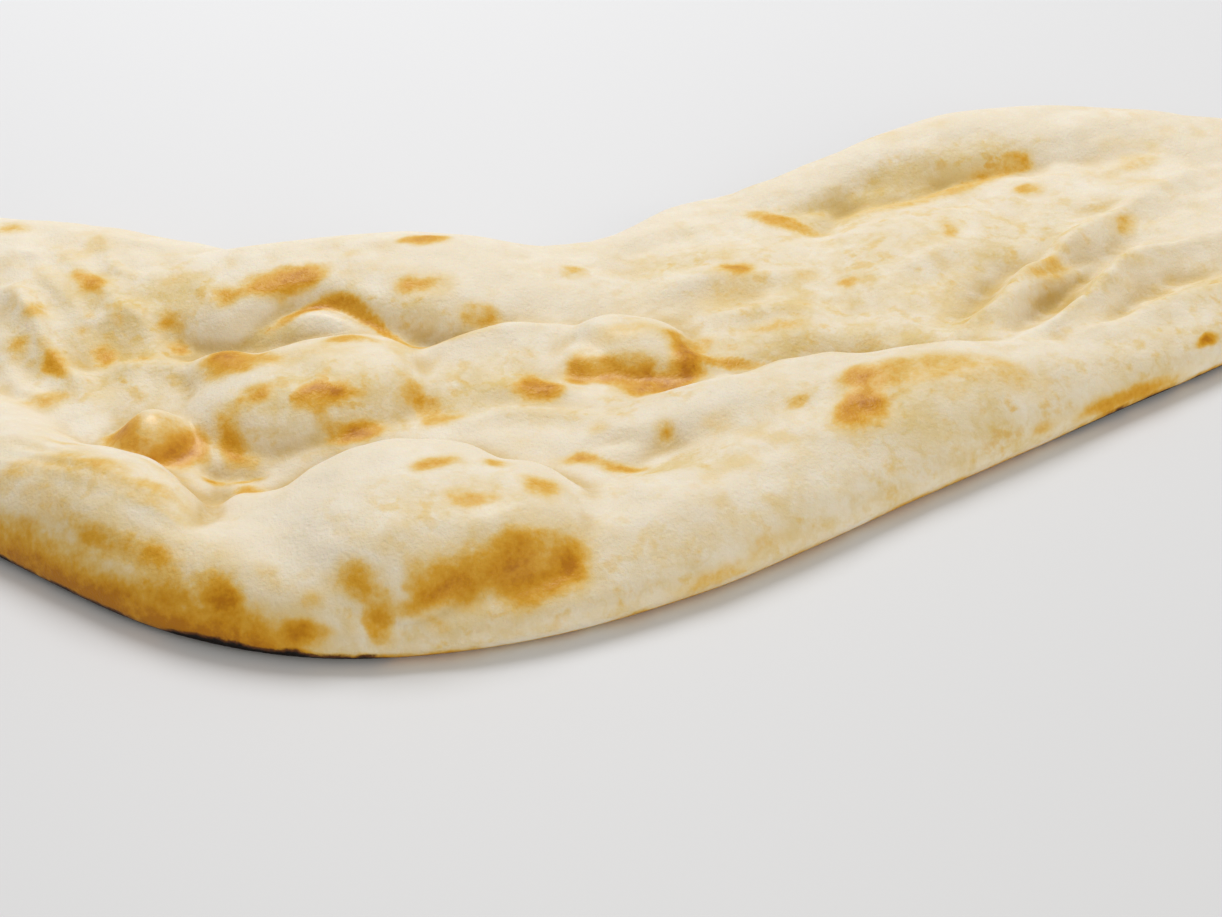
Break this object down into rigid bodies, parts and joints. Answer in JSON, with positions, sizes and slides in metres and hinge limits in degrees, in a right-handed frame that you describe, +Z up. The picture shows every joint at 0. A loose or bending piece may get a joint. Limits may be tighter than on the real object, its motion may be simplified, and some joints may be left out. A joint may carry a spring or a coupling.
{
  "type": "naan bread",
  "caption": "Long leaf-shaped flatbread with a puffed rim, a blistered hollow field and browned, part-scorched crust, lying on its flat underside.",
  "frame": {"origin": "under the middle of the bread's bounding box, on the surface it rests on", "axes": "+X along the bread towards its narrow tip, -Y the front edge, +Z up"},
  "size_m": [0.398, 0.1966, 0.0239],
  "materials": {
    "baked_crust": "matte floury baked crust, cream with golden brown blisters and a scorched front edge"
  },
  "bodies": {
    "root": {"naan_bread": "baked_crust"}
  },
  "joints": []
}
